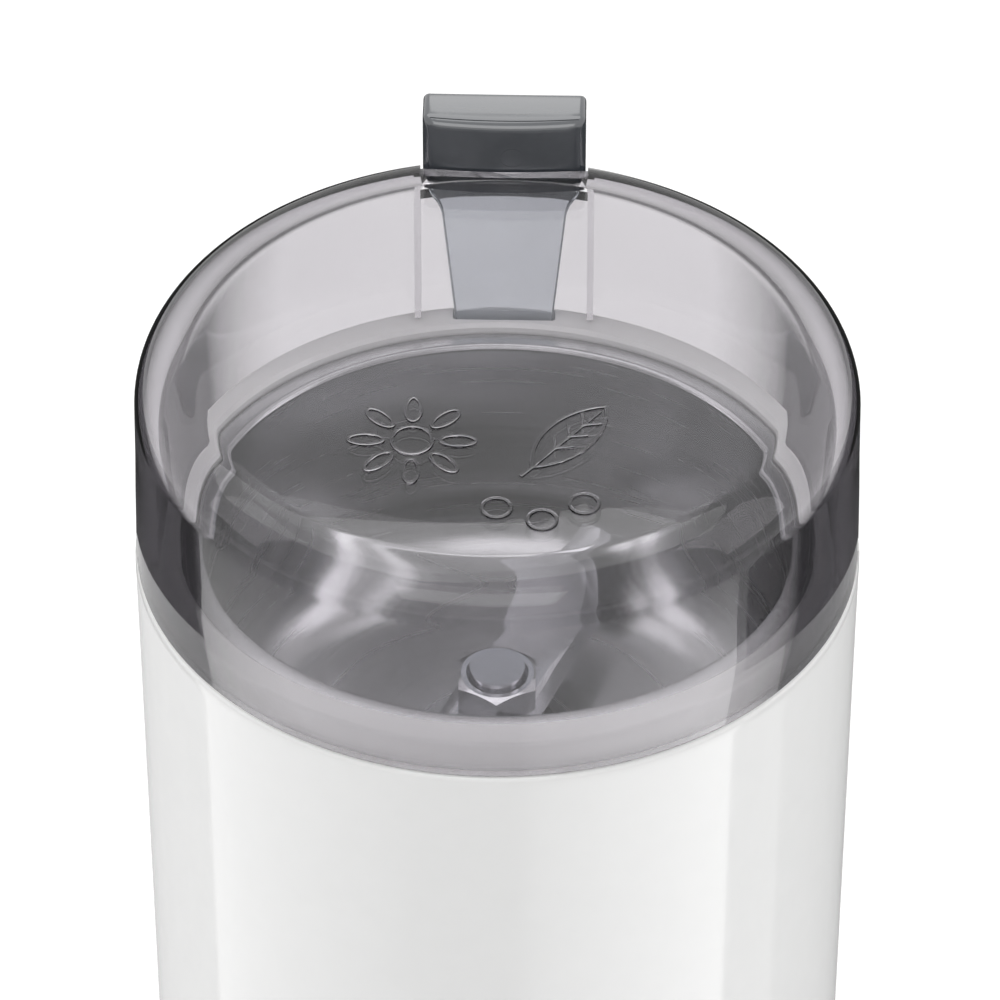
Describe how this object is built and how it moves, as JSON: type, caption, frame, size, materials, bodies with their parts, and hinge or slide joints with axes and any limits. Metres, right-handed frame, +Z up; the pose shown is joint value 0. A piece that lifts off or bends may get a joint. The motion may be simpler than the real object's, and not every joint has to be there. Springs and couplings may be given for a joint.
{
  "type": "electric blade grinder",
  "caption": "Oval electric blade grinder for spices and coffee beans, with a clear lift-off lid, a push button in the lid's back edge, a steel bowl and a motor-driven blade.",
  "frame": {"origin": "on the table under the middle of the oval body", "axes": "+Z up, +X to the right, the front faces -Y and the button is at +Y"},
  "size_m": [0.09, 0.085, 0.1715],
  "materials": {
    "white_plastic": "gloss",
    "smoke_clear": "clear, smoke tinted",
    "grey_plastic": "gloss",
    "clear_grey": "translucent",
    "bowl_steel": "polished",
    "blade_steel": "ground",
    "grey_rubber": "matt",
    "black_rubber": "matt",
    "zinc_steel": "zinc plated",
    "spring_steel": "bright",
    "die_cast": "as cast",
    "bronze": "sintered",
    "brass": "rolled",
    "copper_wire": "enamelled wire",
    "laminations": "stacked sheet",
    "carbon": "pressed carbon",
    "dark_plastic": "satin",
    "red_plastic": "satin",
    "washer_plastic": "satin",
    "filter_plastic": "satin",
    "wire_red": "smooth"
  },
  "bodies": {
    "base_unit": {"housing": "white_plastic", "bowl": "bowl_steel", "bowl_gasket": "grey_rubber", "shaft_seal": "black_rubber", "base_cover": "white_plastic", "feet": "grey_rubber", "base_screws": "zinc_steel", "cord_gland": "grey_rubber", "motor_top_bracket": "die_cast", "motor_bottom_bracket": "die_cast", "top_bearing": "bronze", "bottom_bearing": "bronze", "field_core": "laminations", "field_coils": "copper_wire", "brush_holders": "brass", "carbon_brushes": "carbon", "brush_springs": "spring_steel", "tie_screws": "zinc_steel", "motor_grommets": "black_rubber", "motor_screws": "zinc_steel", "switch_case": "dark_plastic", "switch_bracket": "zinc_steel", "switch_screws": "zinc_steel", "bracket_screws": "zinc_steel", "noise_filter": "filter_plastic", "lead_wires": "wire_red", "rod_spring": "spring_steel"},
    "rotor": {"motor_shaft": "blade_steel", "thrust_washers": "washer_plastic", "armature_core": "laminations", "armature_windings": "copper_wire", "commutator": "copper_wire", "cooling_fan": "white_plastic", "blade_hub": "dark_plastic", "blade": "blade_steel", "blade_nut": "blade_steel"},
    "lid": {"lid": "smoke_clear"},
    "button": {"button_cap": "grey_plastic", "button_stem": "clear_grey"},
    "push_rod": {"push_rod": "white_plastic"},
    "switch_lever": {"switch_lever": "spring_steel"},
    "switch_plunger": {"switch_plunger": "red_plastic"}
  },
  "joints": [
    {"name": "rotor_spin", "type": "hinge", "parent": "base_unit", "child": "rotor", "pos_m": [0, 0, 0.05], "axis": [0, 0, 1], "continuous": true},
    {"name": "lid_lift", "type": "slide", "parent": "base_unit", "child": "lid", "axis": [0, 0, 1], "range_m": [0, 0.06]},
    {"name": "button_press", "type": "slide", "parent": "lid", "child": "button", "axis": [0, 0, -1], "range_m": [0, 0.003], "stiffness_N_per_m": 300, "springref_m": -0.002},
    {"name": "push_rod_slide", "type": "slide", "parent": "base_unit", "child": "push_rod", "axis": [0, 0, -1], "range_m": [0, 0.003], "deforming": ["rod_spring"]},
    {"name": "switch_lever_turn", "type": "hinge", "parent": "base_unit", "child": "switch_lever", "pos_m": [-0.0145, 0.03311, 0.0871], "axis": [0, 1, 0], "range_deg": [0, 10.2]},
    {"name": "switch_plunger_slide", "type": "slide", "parent": "base_unit", "child": "switch_plunger", "axis": [0, 0, -1], "range_m": [0, 0.0013]}
  ],
  "couplings": [
    {"joint": "push_rod_slide", "follows": "button_press", "ratio": 1},
    {"joint": "switch_lever_turn", "follows": "button_press", "rad_per_m": 58.85},
    {"joint": "switch_plunger_slide", "follows": "button_press", "ratio": 0.42}
  ]
}
